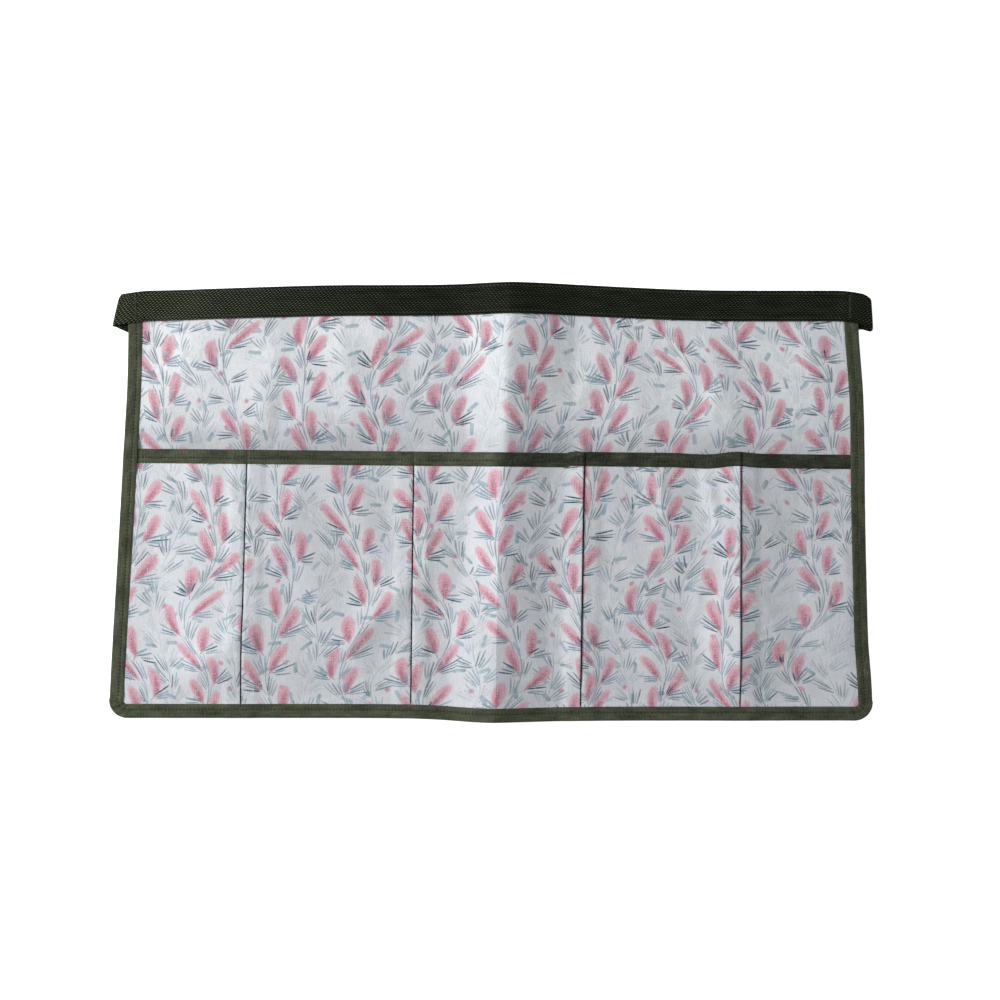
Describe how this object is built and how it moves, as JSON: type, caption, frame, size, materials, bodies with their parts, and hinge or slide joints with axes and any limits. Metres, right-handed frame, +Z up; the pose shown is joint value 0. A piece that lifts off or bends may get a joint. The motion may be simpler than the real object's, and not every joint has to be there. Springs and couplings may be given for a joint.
{
  "type": "garden tool waist apron",
  "caption": "Half waist apron for garden tools: a printed canvas panel with a row of pleated pockets, bound edges, and a webbing belt with folded straps and a side-release buckle.",
  "frame": {"origin": "centre of the apron's footprint, on the surface it lies on", "axes": "+X along the belt to the wearer's left-hand side of the picture, +Y from the bottom hem to the belt, +Z up out of the pockets' fronts"},
  "size_m": [0.6224, 0.352, 0.0097],
  "materials": {
    "canvas_print": "plain-weave cotton canvas with a printed sprig pattern, matt",
    "binding_tape": "olive woven polyester tape, slight sheen",
    "webbing": "dark olive ribbed polypropylene webbing",
    "thread": "dark olive polyester sewing thread",
    "buckle_plastic": "black moulded acetal, fine matt texture"
  },
  "bodies": {
    "root": {"back_panel": "canvas_print", "binding_left": "binding_tape", "binding_right": "binding_tape", "binding_bottom": "binding_tape", "stitching_binding_left": "thread", "stitching_binding_right": "thread", "stitching_binding_bottom": "thread", "front_belt": "webbing", "stitching_belt_upper": "thread", "stitching_belt_lower": "thread", "bar_tack_left": "thread", "bar_tack_right": "thread", "pleat_1": "canvas_print", "pleat_2": "canvas_print", "pleat_3": "canvas_print", "pleat_4": "canvas_print", "divider_seam_1": "thread", "divider_seam_2": "thread", "divider_seam_3": "thread", "divider_seam_4": "thread"},
    "pocket_1": {"pocket_front_1": "canvas_print", "mouth_binding_1": "binding_tape", "stitching_mouth_1": "thread"},
    "pocket_2": {"pocket_front_2": "canvas_print", "mouth_binding_2": "binding_tape", "stitching_mouth_2": "thread"},
    "pocket_3": {"pocket_front_3": "canvas_print", "mouth_binding_3": "binding_tape", "stitching_mouth_3": "thread"},
    "pocket_4": {"pocket_front_4": "canvas_print", "mouth_binding_4": "binding_tape", "stitching_mouth_4": "thread"},
    "pocket_5": {"pocket_front_5": "canvas_print", "mouth_binding_5": "binding_tape", "stitching_mouth_5": "thread"},
    "strap_left": {"left_strap": "webbing", "stitching_left_strap": "thread"},
    "strap_right": {"right_strap": "webbing", "stitching_right_strap": "thread"},
    "socket": {"buckle_socket": "buckle_plastic"},
    "plug": {"buckle_plug": "buckle_plastic"},
    "prong_left": {"plug_prong_left": "buckle_plastic"},
    "prong_right": {"plug_prong_right": "buckle_plastic"},
    "keeper": {"strap_keeper": "buckle_plastic"}
  },
  "joints": [
    {"name": "pocket_1_open", "type": "hinge", "parent": "root", "child": "pocket_1", "pos_m": [-0.24901, -0.1644, 0.00255], "axis": [1, 0, 0], "range_deg": [0, 6.5]},
    {"name": "pocket_2_open", "type": "hinge", "parent": "root", "child": "pocket_2", "pos_m": [-0.13425, -0.1644, 0.00255], "axis": [1, 0, 0], "range_deg": [0, 6.5]},
    {"name": "pocket_3_open", "type": "hinge", "parent": "root", "child": "pocket_3", "pos_m": [0.00425, -0.1644, 0.00255], "axis": [1, 0, 0], "range_deg": [0, 6.5]},
    {"name": "pocket_4_open", "type": "hinge", "parent": "root", "child": "pocket_4", "pos_m": [0.13875, -0.1644, 0.00255], "axis": [1, 0, 0], "range_deg": [0, 6.5]},
    {"name": "pocket_5_open", "type": "hinge", "parent": "root", "child": "pocket_5", "pos_m": [0.24926, -0.1644, 0.00255], "axis": [1, 0, 0], "range_deg": [0, 6.5]},
    {"name": "left_strap_fold", "type": "hinge", "parent": "root", "child": "strap_left", "pos_m": [-0.308, 0.1635, 0.004], "axis": [0.2334, 0.9724, 0], "range_deg": [0, 180]},
    {"name": "right_strap_fold", "type": "hinge", "parent": "root", "child": "strap_right", "pos_m": [0.3106, 0.1635, 0.004], "axis": [0.0718, -0.9974, 0], "range_deg": [0, 180]},
    {"name": "socket_swing", "type": "hinge", "parent": "strap_left", "child": "socket", "pos_m": [-0.21889, 0.11811, 0.00495], "axis": [0.4539, 0.8911, 0], "range_deg": [0, 90]},
    {"name": "plug_swing", "type": "hinge", "parent": "strap_right", "child": "plug", "pos_m": [-0.11002, 0.10262, 0.00495], "axis": [0.1433, -0.9897, 0], "range_deg": [0, 90]},
    {"name": "prong_left_squeeze", "type": "hinge", "parent": "plug", "child": "prong_left", "pos_m": [-0.12598, 0.09071, 0.0042], "axis": [0, 0, -1], "range_deg": [0, 6], "stiffness_Nm_per_rad": 1.2},
    {"name": "prong_right_squeeze", "type": "hinge", "parent": "plug", "child": "prong_right", "pos_m": [-0.1287, 0.10951, 0.0042], "axis": [0, 0, 1], "range_deg": [0, 6], "stiffness_Nm_per_rad": 1.2},
    {"name": "keeper_slide", "type": "slide", "parent": "strap_right", "child": "keeper", "axis": [0.9897, 0.1433, 0], "range_m": [0, 0.09]}
  ]
}
